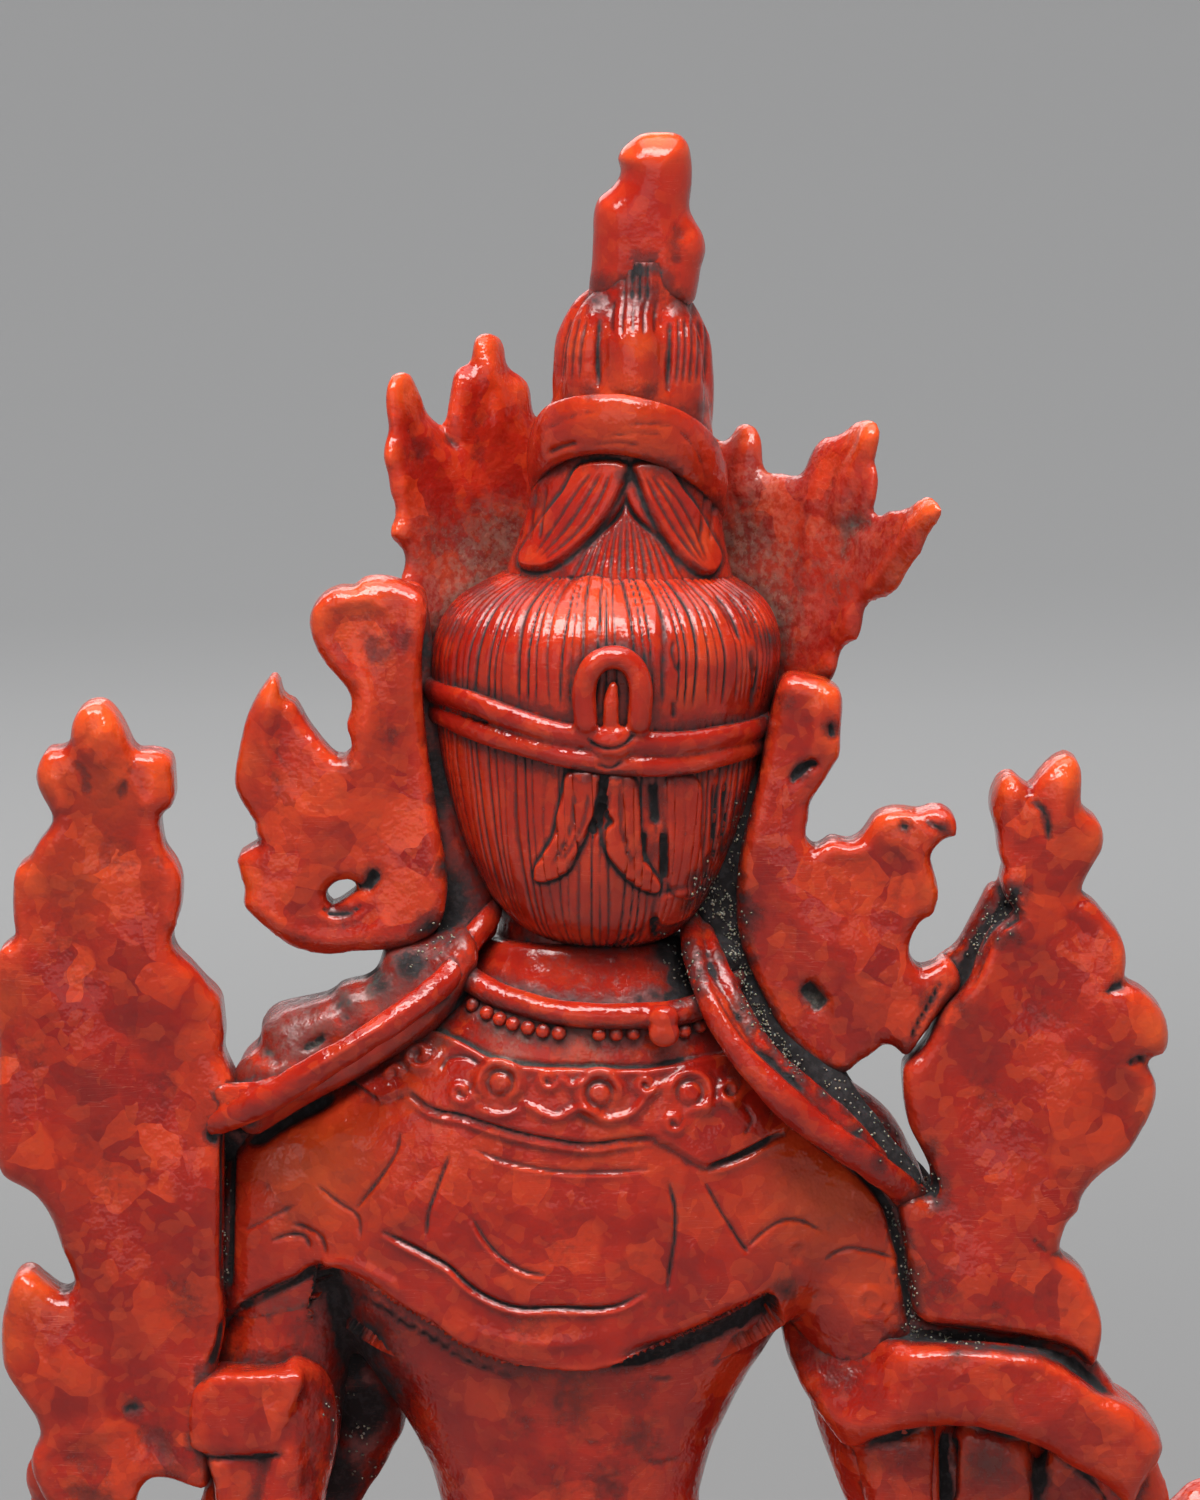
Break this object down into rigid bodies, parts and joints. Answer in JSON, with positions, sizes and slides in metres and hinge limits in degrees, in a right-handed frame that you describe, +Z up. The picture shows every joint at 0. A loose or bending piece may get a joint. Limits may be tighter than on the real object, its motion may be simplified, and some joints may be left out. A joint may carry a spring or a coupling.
{
  "type": "white tara figure",
  "caption": "Seated goddess figure on an oval lotus seat, with a leafed crown, tall topknot, shoulder lotuses and scarf, cast in one piece of coral-red resin.",
  "frame": {"origin": "centre of the underside of the lotus seat, which is the bottom centre of the whole figure's box", "axes": "+Z up, the figure faces -Y, her own left is +X"},
  "size_m": [0.088, 0.062, 0.141],
  "materials": {
    "coral_resin": "polished coral-red resin with dark dirt in its recesses"
  },
  "bodies": {
    "root": {"white_tara_figure": "coral_resin"}
  },
  "joints": []
}
